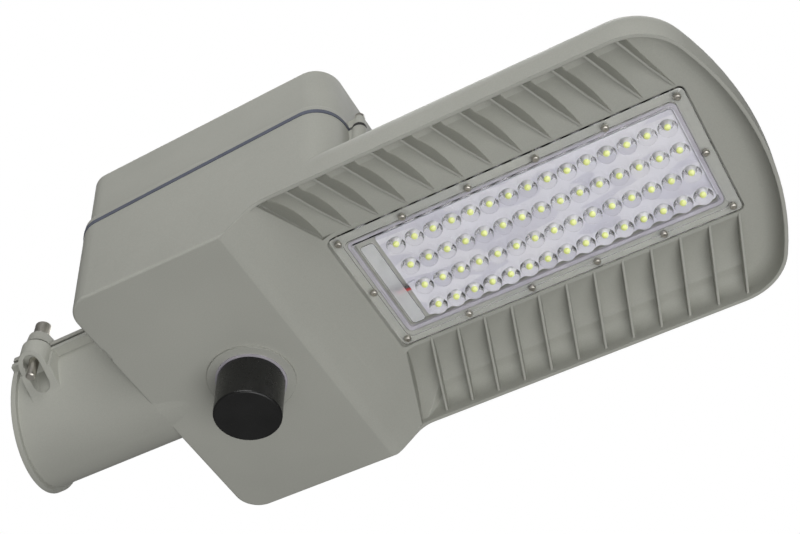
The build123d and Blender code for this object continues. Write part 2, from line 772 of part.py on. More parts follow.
with BuildPart() as lens_screws:
    for x, y in lens_screw_points:
        with BuildSketch(Plane.XY.offset(flange_z)):
            with Locations((x, y)):
                Circle(2.2)
        extrude(amount=-1.7)
        with BuildSketch(Plane.XY.offset(flange_z)):
            with Locations((x, y)):
                Circle(1.28)
        extrude(amount=8.6)
    fillet(lens_screws.faces().group_by(Axis.Z)[0].edges(), radius=1.0)
    for x, y in lens_screw_points:
        with BuildSketch(Plane.XY.offset(flange_z - 1.7)):
            with Locations((x, y)):
                Rectangle(2.4, 0.6)
                Rectangle(0.6, 2.4)
        extrude(amount=0.8, mode=Mode.SUBTRACT)
save(lens_screws.part, "lens_screws")

with BuildPart() as led_board:
    with BuildSketch(Plane.XY.offset(board_z)):
        with Locations(((board_rear_x + board_front_x) / 2, 0)):
            RectangleRounded(board_front_x - board_rear_x, 2 * board_half_y, 2)
    extrude(amount=board_t)
save(led_board.part, "led_board")

with BuildPart() as led_chips:
    with BuildSketch(Plane.XY.offset(board_z)):
        with Locations(*led_points):
            Rectangle(3.0, 3.0)
    extrude(amount=-0.7)
save(led_chips.part, "led_chips")

with BuildPart() as led_connector:
    with BuildSketch(Plane.XY.offset(board_z)):
        with Locations((board_rear_x + 3.2, wire_hole_y)):
            Rectangle(4.6, 6.4)
    extrude(amount=-1.4)
save(led_connector.part, "led_connector")

with BuildPart() as thermal_pad:
    with BuildSketch(Plane.XY.offset(board_z + board_t)):
        with Locations(((board_rear_x + board_front_x) / 2, 0)):
            Rectangle(board_front_x - board_rear_x - 2, 2 * board_half_y - 2)
    extrude(amount=pad_t)
save(thermal_pad.part, "thermal_pad")

# frosted film at the bottom of the cover's pocket, which hides the leads
with BuildPart() as lead_shield:
    with BuildSketch(Plane.XY.offset(recess_z - lead_pocket_depth)):
        with Locations(((step_rear_x + 4 + board_rear_x - 1.5) / 2, 0)):
            RectangleRounded(board_rear_x - 6.1 - step_rear_x, 2 * 32.7, 2)
    extrude(amount=0.4)
save(lead_shield.part, "lead_shield")

save(ring(3.95, 2.3, wire_hole_x, wire_hole_y, pocket_top_z, 7.5), "lead_grommet")

# ---------------------------------------------------------------- sensor
bezel_z = box_floor_z - bezel_h
floor_in_z = box_floor_z + wall

with BuildPart() as sensor_base:
    # threaded neck through the floor, and the socket disc below it
    with BuildSketch(Plane.XY.offset(bezel_z - 3)):
        with Locations((sensor_x, 0)):
            Circle(17.2)
    extrude(amount=3)
    with BuildSketch(Plane.XY.offset(bezel_z)):
        with Locations((sensor_x, 0)):
            Circle(13.0)
    extrude(amount=wall + bezel_h + 7)
    # three posts that carry the sensor board
    for angle in (0, 120, 240):
        with BuildSketch(Plane.XY.offset(bezel_z - 3)):
            with Locations((sensor_x, 0)):
                with PolarLocations(12.0, 1, start_angle=angle):
                    Circle(1.6)
        extrude(amount=-9)
    with BuildSketch(Plane.XY.offset(bezel_z - 3)):
        with Locations((sensor_x, 0)):
            Circle(6.0)
    extrude(amount=20, mode=Mode.SUBTRACT)
save(sensor_base.part, "sensor_base")

save(ring(21.4, 17.5, sensor_x, 0, bezel_z - 1.0, 1.0), "sensor_seal")

with BuildPart() as sensor_locknut:
    with BuildSketch(Plane.XY.offset(floor_in_z)):
        with Locations((sensor_x, 0)):
            RegularPolygon(radius=19.0, side_count=6)
            Circle(13.0, mode=Mode.SUBTRACT)
    extrude(amount=5)
save(sensor_locknut.part, "sensor_locknut")

with BuildPart() as sensor_board:
    with BuildSketch(Plane.XY.offset(bezel_z - 12)):
        with Locations((sensor_x, 0)):
            Circle(15.5)
    extrude(amount=-1.6)
    for x, y, w, d, h in ((-5, -4, 9, 9, 1.2), (6, 3, 7, 5, 2.0), (-3, 8, 4, 3, 1.0)):
        with BuildSketch(Plane.XY.offset(bezel_z - 12)):
            with Locations((sensor_x + x * 0.8, y * 0.6)):
                Rectangle(w * 0.7, d * 0.7)
        extrude(amount=h)
save(sensor_board.part, "sensor_board")

with BuildPart() as sensor_cap:
    with BuildSketch(Plane.XY.offset(bezel_z - 1.3)):
        with Locations((sensor_x, 0)):
            Circle(sensor_r)
    extrude(amount=sensor_end_z - bezel_z + 1.3)
    fillet(sensor_cap.faces().sort_by(Axis.Z)[0].edges(), radius=1.3)
    with BuildSketch(Plane.XY.offset(bezel_z - 1.3)):
        with Locations((sensor_x, 0)):
            Circle(sensor_r - 2.2)
    extrude(amount=sensor_end_z - bezel_z + 1.3 + 2.4, mode=Mode.SUBTRACT)
save(sensor_cap.part, "sensor_cap")

# ---------------------------------------------------------------- battery
cell_xs = [pack_x + cell_pitch * i for i in (-1, 0, 1)]
cell_zs = [pack_low_z, pack_low_z + cell_pitch]
pack_mid_z = pack_low_z + cell_pitch / 2
spacer_length = 100.0
spacer_h = 66.4
cell_spots = [(x, z) for x in cell_xs for z in cell_zs]
cell_start_y = 2.6

with BuildPart() as battery_cells:
    for side in (-1, 1):
        for x, z in cell_spots:
            y0 = cell_start_y if side > 0 else -cell_start_y - cell_length
            add(along_y(cell_r, x, z, y0, y0 + cell_length))
save(battery_cells.part, "battery_cells")

with BuildPart() as battery_spacers:
    for y0 in (-70.0, -12.0, 6.0, 64.0):
        with BuildSketch(Plane.XZ.offset(-y0)):
            with Locations((pack_x, pack_mid_z)):
                RectangleRounded(spacer_length, spacer_h, 14)
            with Locations(*cell_spots):
                Circle(cell_r + running_gap, mode=Mode.SUBTRACT)
        extrude(amount=-6)
save(battery_spacers.part, "battery_spacers")

with BuildPart() as battery_strips:
    for face_y in (cell_start_y + cell_length, -cell_start_y - cell_length - 0.4):
        for x in cell_xs:
            with BuildSketch(Plane.XZ.offset(-face_y)):
                with Locations((x, pack_mid_z)):
                    Rectangle(9, 50)
            extrude(amount=-0.4)
    for z in cell_zs:
        with BuildSketch(Plane.XZ.offset(-cell_start_y + 0.4)):
            with Locations((pack_x, z)):
                Rectangle(82, 9)
        extrude(amount=-0.4)
        with BuildSketch(Plane.XZ.offset(cell_start_y)):
            with Locations((pack_x, z)):
                Rectangle(82, 9)
        extrude(amount=-0.4)
save(battery_strips.part, "battery_strips")

with BuildPart() as battery_protection_board:
    with BuildSketch(Plane.XZ.offset(-76)):
        with Locations((pack_x, 5)):
            Rectangle(62, 44)
    extrude(amount=-1.6)
    # three switching transistors and the controller chip
    for x in (-17, 0, 17):
        with BuildSketch(Plane.XZ.offset(-77.6)):
            with Locations((pack_x + x, 12)):
                Rectangle(12, 8)
        extrude(amount=-2.4)
    with BuildSketch(Plane.XZ.offset(-77.6)):
        with Locations((pack_x - 4, -6)):
            Rectangle(16, 9)
    extrude(amount=-1.4)
save(battery_protection_board.part, "battery_protection_board")

with BuildPart() as battery_cradle:
    # folded sheet bridge over the sensor's locknut, with a window above the nut
    cradle_x0 = pack_x - spacer_length / 2
    cradle_x1 = pack_x + spacer_length / 2
    cradle_y = 74.6
    cradle_t = 1.2
    cradle_z = pack_mid_z - spacer_h / 2
    add(cross_box(cradle_x0, cradle_x1, -cradle_y, cradle_y, cradle_z - cradle_t, cradle_z))
    add(cross_box(118, 171, -13, 13, cradle_z - 2, cradle_z + 1), mode=Mode.SUBTRACT)
    for side_y in (-cradle_y, cradle_y - cradle_t):
        add(cross_box(cradle_x0, cradle_x1, side_y, side_y + cradle_t, floor_in_z, cradle_z))
save(battery_cradle.part, "battery_cradle")

# ---------------------------------------------------------------- mounting tray and controller
tray_mid_x = 160.1
tray_length = 144.0
tray_half_y = 80.0
with BuildPart() as mounting_tray:
    with BuildSketch(Plane.XY.offset(tray_z)):
        with Locations((tray_mid_x, 0)):
            RectangleRounded(tray_length, 2 * tray_half_y, 6)
        for x, y in post_points:
            with Locations((x, y)):
                Circle(6)
        for x, y in post_points:
            with Locations((x, y)):
                Circle(2.2, mode=Mode.SUBTRACT)
        for y in (-66, 66):
            with Locations((200, y)):
                SlotOverall(22, 10, mode=Mode.SUBTRACT)
        with Locations((219.5, wire_hole_y)):
            SlotOverall(20, 14, mode=Mode.SUBTRACT)
        with Locations((pack_x, 76)):
            Rectangle(26, 9, mode=Mode.SUBTRACT)
    extrude(amount=tray_t)
save(mounting_tray.part, "mounting_tray")

with BuildPart() as tray_screws:
    for x, y in post_points:
        with BuildSketch(Plane.XY.offset(tray_z + tray_t)):
            with Locations((x, y)):
                Circle(3.5)
        extrude(amount=2.2)
        with BuildSketch(Plane.XY.offset(tray_z - 10)):
            with Locations((x, y)):
                Circle(1.68)
        extrude(amount=10 + tray_t)
    fillet(tray_screws.faces().group_by(Axis.Z)[-1].edges(), radius=1.2)
    for x, y in post_points:
        with BuildSketch(Plane.XY.offset(tray_z + tray_t + 2.2)):
            with Locations((x, y)):
                Rectangle(3.6, 0.9)
                Rectangle(0.9, 3.6)
        extrude(amount=-1.1, mode=Mode.SUBTRACT)
save(tray_screws.part, "tray_screws")

case_x = 150.0
case_z = tray_z + tray_t
case_h = 24.0
foot_y = 62.0
with BuildPart() as controller_case:
    with BuildSketch(Plane.XY.offset(case_z)):
        with Locations((case_x, 0)):
            RectangleRounded(74, 112, 4)
    extrude(amount=case_h)
    fillet(controller_case.faces().sort_by(Axis.Z)[-1].edges(), radius=2)
    # cooling ribs on its top
    for i in range(-4, 5):
        with BuildSketch(Plane.XY.offset(case_z + case_h)):
            with Locations((case_x, 11 * i)):
                Rectangle(60, 5)
        extrude(amount=-2.5, mode=Mode.SUBTRACT)
    # feet
    with BuildSketch(Plane.XY.offset(case_z)):
        with Locations((case_x, foot_y - 1), (case_x, 1 - foot_y)):
            Rectangle(20, 12)
        with Locations((case_x, foot_y), (case_x, -foot_y)):
            Circle(1.8, mode=Mode.SUBTRACT)
    extrude(amount=2.5)
    # bay for the terminal block
    add(cross_box(175.5, 190, -34, 34, case_z + 6, case_z + case_h + 1), mode=Mode.SUBTRACT)
save(controller_case.part, "controller_case")

with BuildPart() as controller_screws:
    for y in (-foot_y, foot_y):
        with BuildSketch(Plane.XY.offset(case_z + 2.5)):
            with Locations((case_x, y)):
                Circle(3.2)
        extrude(amount=2)
        with BuildSketch(Plane.XY.offset(case_z)):
            with Locations((case_x, y)):
                Circle(1.7)
        extrude(amount=2.5)
save(controller_screws.part, "controller_screws")

with BuildPart() as terminal_block:
    add(cross_box(176, 186.5, -33, 33, case_z + 6, case_z + 20))
    for i in range(-3, 4):
        with BuildSketch(Plane.YZ.offset(186.5)):
            with Locations((9 * i, case_z + 10.5)):
                Rectangle(5.4, 5)
        extrude(amount=-4, mode=Mode.SUBTRACT)
        with BuildSketch(Plane.XY.offset(case_z + 20)):
            with Locations((181.5, 9 * i)):
                Circle(2.2)
        extrude(amount=-3, mode=Mode.SUBTRACT)
save(terminal_block.part, "terminal_block")

with BuildPart() as terminal_screws:
    for i in range(-3, 4):
        with BuildSketch(Plane.XY.offset(case_z + 17)):
            with Locations((181.5, 9 * i)):
                Circle(2.0)
        extrude(amount=2.0)
        with BuildSketch(Plane.XY.offset(case_z + 19)):
            with Locations((181.5, 9 * i)):
                Rectangle(3.2, 0.7)
        extrude(amount=-0.8, mode=Mode.SUBTRACT)
save(terminal_screws.part, "terminal_screws")

# ---------------------------------------------------------------- cable gland for the pole cable
with BuildPart() as gland_body:
    add(along_x(8.0, gland_x - 9.5, gland_in_x + 3.2, 0, gland_z))
    with BuildSketch(Plane.YZ.offset(gland_x - 5)):
        with Locations((0, gland_z)):
            RegularPolygon(radius=11.5, side_count=6)
    extrude(amount=4.0)
    add(along_x(5.0, gland_x - 20, gland_x + 20, 0, gland_z), mode=Mode.SUBTRACT)
save(gland_body.part, "gland_body")

with BuildPart() as gland_seal:
    add(along_x(10.5, gland_x - 1, gland_x, 0, gland_z))
    add(along_x(8.0, gland_x - 2, gland_x + 1, 0, gland_z), mode=Mode.SUBTRACT)
save(gland_seal.part, "gland_seal")

with BuildPart() as gland_locknut:
    with BuildSketch(Plane.YZ.offset(gland_in_x)):
        with Locations((0, gland_z)):
            RegularPolygon(radius=11.5, side_count=6)
            Circle(8.0, mode=Mode.SUBTRACT)
    extrude(amount=3)
save(gland_locknut.part, "gland_locknut")

with BuildPart() as gland_cap:
    add(along_x(10.6, gland_x - 17, gland_x - 5, 0, gland_z))
    fillet(gland_cap.faces().sort_by(Axis.X)[0].edges(), radius=3.5)
    add(along_x(8.0, gland_x - 9.5, gland_x - 4, 0, gland_z), mode=Mode.SUBTRACT)
    add(along_x(3.6, gland_x - 25, gland_x - 4, 0, gland_z), mode=Mode.SUBTRACT)
    for angle in range(0, 360, 30):
        with BuildSketch(Plane.YZ.offset(gland_x - 16)):
            with Locations((0, gland_z)):
                with PolarLocations(10.8, 1, start_angle=angle):
                    Circle(0.8)
        extrude(amount=11, mode=Mode.SUBTRACT)
save(gland_cap.part, "gland_cap")

# ---------------------------------------------------------------- earth screw and inner leads
with BuildPart() as earth_screw:
    with BuildSketch(Plane.XY.offset(13.0)):
        with Locations(earth_point):
            Circle(3.8)
    extrude(amount=2.6)
    fillet(earth_screw.faces().sort_by(Axis.Z)[-1].edges(), radius=1.0)
    with BuildSketch(Plane.XY.offset(5)):
        with Locations(earth_point):
            Circle(2.05)
    extrude(amount=8)
save(earth_screw.part, "earth_screw")
save(ring(4.6, 2.1, *earth_point, 12.0, 1.0), "earth_washer")


def lead(points, bend, label, radius=0.9):
    """A clipped inner lead along a route of straight runs and arcs."""
    with BuildPart() as wire:
        with BuildLine() as route:
            FilletPolyline(*points, radius=bend)
        with BuildSketch(Plane(origin=route.line @ 0, z_dir=route.line % 0)):
            Circle(radius)
        sweep(path=route.line)
    save(wire.part, label)


for sign, y_term, label in ((-1, 0.0, "led_lead_black"), (1, 9.0, "led_lead_red")):
    y_hole = wire_hole_y + sign * 1.15
    lead(
        [
            (184, y_term, case_z + 10.5),
            (222, y_term, case_z + 10.5),
            (224, y_hole, case_z - 8),
            (wire_hole_x, y_hole, 22),
            (wire_hole_x, y_hole, board_z - 1.0),
            (board_rear_x + 0.9, y_hole, board_z - 1.0),
        ],
        1.5,
        label,
    )
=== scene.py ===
import json
import math

import bmesh
import bpy
from mathutils import Matrix, Vector


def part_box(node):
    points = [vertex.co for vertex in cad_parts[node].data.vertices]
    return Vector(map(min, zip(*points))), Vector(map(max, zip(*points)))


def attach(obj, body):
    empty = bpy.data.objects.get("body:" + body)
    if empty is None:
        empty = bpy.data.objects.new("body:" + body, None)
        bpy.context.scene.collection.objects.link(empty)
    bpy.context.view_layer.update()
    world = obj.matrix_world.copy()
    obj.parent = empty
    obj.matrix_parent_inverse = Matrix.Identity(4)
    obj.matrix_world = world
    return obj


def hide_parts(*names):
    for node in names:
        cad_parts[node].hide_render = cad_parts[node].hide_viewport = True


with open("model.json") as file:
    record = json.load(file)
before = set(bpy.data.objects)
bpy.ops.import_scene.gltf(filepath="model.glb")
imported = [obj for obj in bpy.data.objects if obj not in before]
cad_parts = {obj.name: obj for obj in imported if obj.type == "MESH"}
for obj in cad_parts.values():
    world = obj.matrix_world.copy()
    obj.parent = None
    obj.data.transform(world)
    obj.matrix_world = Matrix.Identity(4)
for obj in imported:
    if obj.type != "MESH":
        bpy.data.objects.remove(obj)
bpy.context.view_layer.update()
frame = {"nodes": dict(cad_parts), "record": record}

# Solar street lamp head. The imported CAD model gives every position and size, in metres; this script adds
# the finishes, the optics and the studio. Lengths written as "mm" values are turned into metres with MM.
nodes = frame["nodes"]
MM = 0.001


# ---------------------------------------------------------------- material building blocks
class Look:
    """One procedural material: a Principled shader and helpers for the nodes that feed it."""

    def __init__(self, name):
        self.material = bpy.data.materials.new(name)
        self.material.use_nodes = True
        self.tree = self.material.node_tree
        self.tree.nodes.clear()
        self.shader = self.add("ShaderNodeBsdfPrincipled")
        self.out = self.add("ShaderNodeOutputMaterial")
        self.link(self.shader.outputs["BSDF"], self.out.inputs["Surface"])
        self.place = self.add("ShaderNodeTexCoord").outputs["Object"]

    def add(self, kind, **settings):
        node = self.tree.nodes.new(kind)
        for key, value in settings.items():
            setattr(node, key, value)
        return node

    def link(self, source, target):
        self.tree.links.new(source, target)

    def set(self, **sockets):
        """Fixed values on the shader's own sockets; underscores stand for spaces."""
        for key, value in sockets.items():
            self.shader.inputs[key.replace("_", " ")].default_value = value

    def feed(self, socket, source):
        self.link(source, self.shader.inputs[socket])

    def stretched(self, factors):
        """The object coordinates, scaled apart along X, Y and Z."""
        mapping = self.add("ShaderNodeMapping")
        mapping.inputs["Scale"].default_value = factors
        self.link(self.place, mapping.inputs["Vector"])
        return mapping.outputs["Vector"]

    def noise(self, scale, detail=3.0, roughness=0.5, place=None):
        node = self.add("ShaderNodeTexNoise")
        node.inputs["Scale"].default_value = scale
        node.inputs["Detail"].default_value = detail
        node.inputs["Roughness"].default_value = roughness
        self.link(place or self.place, node.inputs["Vector"])
        return node.outputs["Fac"]

    def spread(self, value, low, high, to_low, to_high):
        """The value's range low..high mapped onto to_low..to_high, clamped."""
        node = self.add("ShaderNodeMapRange")
        for key, number in (("From Min", low), ("From Max", high), ("To Min", to_low), ("To Max", to_high)):
            node.inputs[key].default_value = number
        self.link(value, node.inputs["Value"])
        return node.outputs["Result"]

    def sum(self, first, second, operation="ADD"):
        node = self.add("ShaderNodeMath", operation=operation)
        for i, value in enumerate((first, second)):
            if isinstance(value, (int, float)):
                node.inputs[i].default_value = value
            else:
                self.link(value, node.inputs[i])
        return node.outputs["Value"]

    def mix(self, share, first, second):
        """A colour between two, by share; each may be a colour or an output."""
        node = self.add("ShaderNodeMix", data_type="RGBA")
        for socket, value in ((node.inputs[0], share), (node.inputs[6], first), (node.inputs[7], second)):
            if isinstance(value, tuple):
                socket.default_value = (*value, 1.0) if len(value) == 3 else value
            elif isinstance(value, (int, float)):
                socket.default_value = value
            else:
                self.link(value, socket)
        return node.outputs[2]

    def soft_normal(self, radius, samples=4):
        """Shading normal with every sharp edge rounded by radius."""
        node = self.add("ShaderNodeBevel", samples=samples)
        node.inputs["Radius"].default_value = radius
        return node.outputs["Normal"]

    def edge_mask(self, rounded, low=0.02, high=0.2):
        """1 along convex and concave edges, 0 on open faces."""
        face = self.add("ShaderNodeNewGeometry").outputs["Normal"]
        dot = self.add("ShaderNodeVectorMath", operation="DOT_PRODUCT")
        self.link(rounded, dot.inputs[0])
        self.link(face, dot.inputs[1])
        bend = self.sum(1.0, dot.outputs["Value"], "SUBTRACT")
        return self.spread(bend, low, high, 0.0, 1.0)

    def let_lamps_through(self):
        """Light passes the clear surface on its way in, so what lies behind is lit."""
        clear = self.add("ShaderNodeBsdfTransparent")
        clear.inputs["Color"].default_value = (0.96, 0.96, 0.97, 1.0)
        path = self.add("ShaderNodeLightPath")
        mixed = self.add("ShaderNodeMixShader")
        self.link(path.outputs["Is Shadow Ray"], mixed.inputs[0])
        self.link(self.shader.outputs["BSDF"], mixed.inputs[1])
        self.link(clear.outputs["BSDF"], mixed.inputs[2])
        self.link(mixed.outputs["Shader"], self.out.inputs["Surface"])

    def bump(self, height, strength, distance, normal=None):
        node = self.add("ShaderNodeBump")
        node.inputs["Strength"].default_value = strength
        node.inputs["Distance"].default_value = distance
        self.link(height, node.inputs["Height"])
        if normal is not None:
            self.link(normal, node.inputs["Normal"])
        return node.outputs["Normal"]


def powder_coat(name, tone, edge_radius=1.0 * MM):
    """Fine-textured polyester powder coat on a casting."""
    look = Look(name)
    deep = tuple(c * 0.90 for c in tone)
    pale = tuple(min(1.0, c * 1.07) for c in tone)
    cloud = look.spread(look.noise(9, 3), 0.3, 0.7, 0.0, 1.0)
    speck = look.spread(look.noise(1500, 2), 0.35, 0.65, 0.0, 1.0)
    blend = look.sum(look.sum(cloud, 0.6, "MULTIPLY"), look.sum(speck, 0.4, "MULTIPLY"))
    base = look.mix(blend, deep, pale)
    rounded = look.soft_normal(edge_radius)
    # pale edges: partly rubbed-through wear, partly a painted highlight where light catches the rounded edges
    wear_and_highlight_mask = look.edge_mask(rounded)
    patchy = look.spread(look.noise(120, 4), 0.45, 0.7, 0.0, 0.5)
    rubbed_and_highlighted = look.mix(look.sum(wear_and_highlight_mask, patchy, "MULTIPLY"), base, tuple(min(1.0, c * 1.35) for c in tone))
    look.feed("Base Color", rubbed_and_highlighted)
    look.feed("Roughness", look.spread(look.noise(60, 4), 0.3, 0.7, 0.46, 0.60))
    peel = look.sum(look.noise(900, 2), look.sum(look.noise(2600, 1), 0.5, "MULTIPLY"))
    look.feed("Normal", look.bump(peel, 0.22, 0.05 * MM, rounded))
    look.set(Specular_IOR_Level=0.45)
    return look.material


def metal(name, tone, rough, grain=(1, 1, 1), edge_radius=0.15 * MM):
    """Bare metal with a machined grain and slight stains."""
    look = Look(name)
    stain = look.spread(look.noise(150, 4), 0.35, 0.7, 0.0, 1.0)
    look.feed("Base Color", look.mix(stain, tone, tuple(c * 0.72 for c in tone)))
    scratch = look.noise(2200, 3, 0.6, look.stretched(grain))
    look.feed("Roughness", look.spread(scratch, 0.3, 0.7, rough * 0.75, rough * 1.35))
    look.feed("Normal", look.bump(scratch, 0.25, 0.02 * MM, look.soft_normal(edge_radius)))
    look.set(Metallic=1.0)
    return look.material


def moulded(name, tone, rough, texture=1400, strength=0.18, edge_radius=0.3 * MM, coat=0.0):
    """Moulded plastic or rubber with a spark-eroded texture and pale edges, partly wear and partly a painted
    highlight.
    """
    look = Look(name)
    cloud = look.spread(look.noise(70, 3), 0.3, 0.7, 0.0, 1.0)
    base = look.mix(cloud, tone, tuple(min(1.0, c * 1.18 + 0.004) for c in tone))
    rounded = look.soft_normal(edge_radius)
    # pale edges: partly wear, partly a painted highlight where light catches the rounded edges
    wear_and_highlight_mask = look.sum(look.edge_mask(rounded), look.spread(look.noise(300, 3), 0.4, 0.7, 0.0, 0.35), "MULTIPLY")
    look.feed("Base Color", look.mix(wear_and_highlight_mask, base, tuple(min(1.0, c * 1.5 + 0.03) for c in tone)))
    grain = look.noise(texture, 2)
    look.feed("Roughness", look.spread(grain, 0.3, 0.7, rough * 0.85, min(1.0, rough * 1.2)))
    look.feed("Normal", look.bump(grain, strength, 0.03 * MM, rounded))
    look.set(Coat_Weight=coat, Coat_Roughness=0.05)
    return look.material


def clear_plastic(name):
    """Polished clear polycarbonate."""
    look = Look(name)
    ripple = look.noise(180, 2)
    cloud = look.spread(look.noise(25, 2), 0.3, 0.7, 0, 1)
    look.feed("Base Color", look.mix(cloud, (0.97, 0.975, 1.0), (1.0, 1.0, 1.0)))
    look.feed("Roughness", look.spread(look.noise(400, 3), 0.4, 0.8, 0.015, 0.04))
    look.feed("Normal", look.bump(ripple, 0.04, 0.05 * MM))
    look.set(Transmission_Weight=1.0, IOR=1.586)
    look.let_lamps_through()
    return look.material


def frosted(name):
    """Frosted film: it blurs what lies behind."""
    look = Look(name)
    cloud = look.spread(look.noise(200, 3), 0.3, 0.7, 0, 1)
    look.feed("Base Color", look.mix(cloud, (0.90, 0.91, 0.92), (0.97, 0.97, 0.98)))
    look.feed("Roughness", look.spread(look.noise(900, 2), 0.3, 0.7, 0.55, 0.7))
    look.feed("Normal", look.bump(look.noise(1600, 2), 0.3, 0.03 * MM))
    look.set(Transmission_Weight=0.75, IOR=1.3)
    look.let_lamps_through()
    return look.material


def solder_mask(name, tone, trace_tone):
    """Solder mask over copper: the copper areas show as slightly raised, darker patches."""
    look = Look(name)
    tracks = look.spread(look.noise(110, 1, 0.3, look.stretched((0.3, 1, 1))), 0.52, 0.56, 0.0, 1.0)
    cloud = look.spread(look.noise(40, 3), 0.3, 0.7, 0.0, 0.5)
    base = look.mix(cloud, tone, tuple(c * 0.93 for c in tone))
    look.feed("Base Color", look.mix(tracks, base, trace_tone))
    look.feed("Roughness", look.spread(look.noise(500, 3), 0.3, 0.7, 0.30, 0.45))
    look.feed("Normal", look.bump(tracks, 0.15, 0.02 * MM))
    return look.material


def phosphor(name):
    """Yellow phosphor under clear silicone."""
    look = Look(name)
    grain = look.noise(3500, 2)
    speck = look.spread(grain, 0.3, 0.7, 0, 1)
    look.feed("Base Color", look.mix(speck, (0.80, 0.90, 0.20), (0.92, 0.97, 0.36)))
    look.feed("Roughness", look.spread(grain, 0.3, 0.7, 0.25, 0.4))
    look.feed("Normal", look.bump(grain, 0.2, 0.01 * MM))
    look.set(Coat_Weight=0.6, Coat_Roughness=0.05)
    return look.material


PAINT = (0.425, 0.428, 0.385)  # warm grey of the castings
looks = {
    "housing_paint": powder_coat("housing_paint", PAINT),
    "cover_paint": powder_coat("cover_paint", PAINT, 1.2 * MM),
    # the clamp's coat: the castings' paint, made darker as painted shade
    "clamp_paint": powder_coat("clamp_paint", (0.37, 0.37, 0.333), 1.0 * MM),
    "seal_blue_grey": moulded("seal_blue_grey", (0.105, 0.115, 0.15), 0.75),
    "seal_black": moulded("seal_black", (0.03, 0.03, 0.03), 0.7),
    "seal_lilac": moulded("seal_lilac", (0.42, 0.40, 0.44), 0.6),
    "stainless": metal("stainless", (0.74, 0.71, 0.64), 0.34, (1, 1, 6)),
    "steel_pin": metal("steel_pin", (0.55, 0.55, 0.54), 0.22, (1, 6, 1)),
    "lens_clear": clear_plastic("lens_clear"),
    "film_frosted": frosted("film_frosted"),
    "board_white": solder_mask("board_white", (0.80, 0.79, 0.83), (0.66, 0.65, 0.71)),
    "led_phosphor": phosphor("led_phosphor"),
    "led_ceramic": moulded("led_ceramic", (0.80, 0.80, 0.80), 0.4, 2000, 0.1, 0.05 * MM),
    "pad_grey": moulded("pad_grey", (0.45, 0.47, 0.50), 0.85),
    "sensor_gloss_black": moulded("sensor_gloss_black", (0.004, 0.004, 0.004), 0.3, 500, 0.05, 0.4 * MM, 0.0),
    "socket_black": moulded("socket_black", (0.03, 0.03, 0.033), 0.5),
    "pcb_green": solder_mask("pcb_green", (0.05, 0.23, 0.10), (0.09, 0.33, 0.15)),
    "cell_wrap": moulded("cell_wrap", (0.05, 0.16, 0.42), 0.3, 300, 0.1, 0.5 * MM, 0.3),
    "spacer_black": moulded("spacer_black", (0.05, 0.05, 0.055), 0.55),
    "nickel": metal("nickel", (0.66, 0.64, 0.60), 0.3, (1, 4, 1)),
    "tray_zinc": metal("tray_zinc", (0.60, 0.61, 0.62), 0.38, (3, 1, 1), 0.4 * MM),
    "controller_black": moulded("controller_black", (0.06, 0.06, 0.065), 0.4, 2200, 0.12, 0.5 * MM),
    "terminal_green": moulded("terminal_green", (0.07, 0.32, 0.14), 0.45),
    "gland_black": moulded("gland_black", (0.035, 0.035, 0.04), 0.5),
    "earth_brass": metal("earth_brass", (0.72, 0.55, 0.25), 0.25),
    "wire_red": moulded("wire_red", (0.55, 0.03, 0.03), 0.45),
    "wire_black": moulded("wire_black", (0.03, 0.03, 0.03), 0.45),
}

# ---------------------------------------------------------------- CAD nodes get their looks
for part in frame["record"]["subparts"]:
    piece = nodes[part["node"]]
    piece.data.materials.clear()
    piece.data.materials.append(looks[part["material_slot"]])


# ---------------------------------------------------------------- mesh helpers
def finish_piece(name, mesh, body, slot_name, extra_looks=(), sharp_angle=35):
    """Turns a bmesh in millimetres into a smooth-shaded piece in metres that rides on a body."""
    bmesh.ops.recalc_face_normals(mesh, faces=mesh.faces)
    bmesh.ops.scale(mesh, vec=(MM, MM, MM), verts=mesh.verts)
    data = bpy.data.meshes.new(name)
    mesh.to_mesh(data)
    mesh.free()
    for polygon in data.polygons:
        polygon.use_smooth = True
    data.set_sharp_from_angle(angle=math.radians(sharp_angle))
    piece = bpy.data.objects.new(name, data)
    bpy.context.scene.collection.objects.link(piece)
    data.materials.append(looks[slot_name])
    for look_name in extra_looks:
        data.materials.append(looks[look_name])
    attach(piece, body)
    return piece


def lathe(mesh, profile, centre, segments=32, material=0):
    """Revolves (radius, z) points about a vertical axis; a radius of 0 closes an end."""
    rings = []
    for radius, z in profile:
        if radius == 0:
            rings.append([mesh.verts.new((centre[0], centre[1], z))])
            continue
        ring = []
        for k in range(segments):
            angle = 2 * math.pi * k / segments
            x = centre[0] + radius * math.cos(angle)
            y = centre[1] + radius * math.sin(angle)
            ring.append(mesh.verts.new((x, y, z)))
        rings.append(ring)
    for lower, upper in zip(rings, rings[1:]):
        for k in range(segments):
            j = (k + 1) % segments
            if len(lower) == 1:
                corners = (lower[0], upper[k], upper[j])
            elif len(upper) == 1:
                corners = (lower[k], lower[j], upper[0])
            else:
                corners = (lower[k], lower[j], upper[j], upper[k])
            mesh.faces.new(corners).material_index = material


# ---------------------------------------------------------------- the LED grid, from the CAD nodes
LED_COLUMNS = 15
LED_ROWS = 4
chips_low, chips_high = (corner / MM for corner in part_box("led_chips"))
CHIP_SIZE = 3.0
pitch_x = (chips_high.x - chips_low.x - CHIP_SIZE) / (LED_COLUMNS - 1)
pitch_y = (chips_high.y - chips_low.y - CHIP_SIZE) / (LED_ROWS - 1)
led_points = [
    (chips_low.x + CHIP_SIZE / 2 + pitch_x * i, chips_low.y + CHIP_SIZE / 2 + pitch_y * j)
    for i in range(LED_COLUMNS)
    for j in range(LED_ROWS)
]

